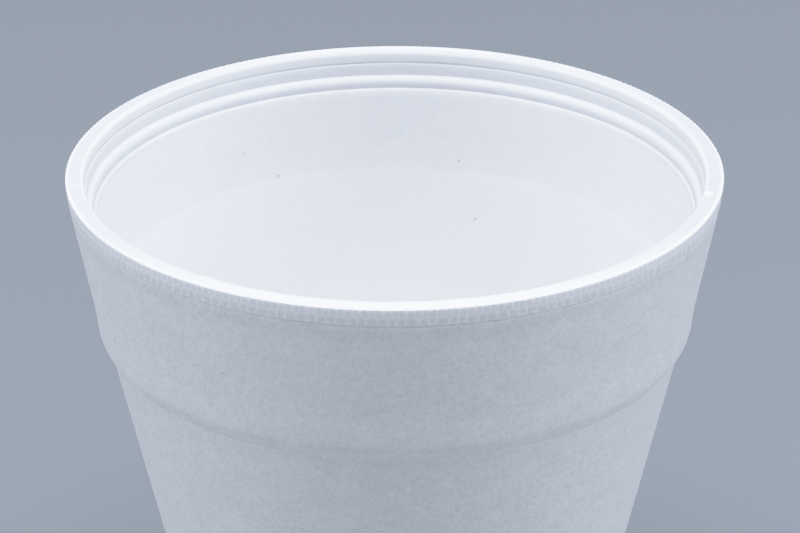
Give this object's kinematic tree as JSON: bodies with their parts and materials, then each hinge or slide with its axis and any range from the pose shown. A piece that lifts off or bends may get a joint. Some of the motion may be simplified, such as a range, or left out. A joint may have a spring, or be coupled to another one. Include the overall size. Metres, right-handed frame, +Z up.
{
  "type": "foam cup",
  "caption": "Round tapered drinking cup moulded in one piece from expanded beads, with a narrow flat lip, two stacking ledges in the mouth and a rounded outer shoulder.",
  "frame": {"origin": "centre of the foot ring's resting face", "axes": "+Z up along the cup's axis of revolution, from the foot to the mouth"},
  "size_m": [0.0938, 0.0938, 0.094],
  "materials": {
    "bead_foam": "matte moulded bead foam, near white"
  },
  "bodies": {
    "root": {"cup": "bead_foam"}
  },
  "joints": []
}
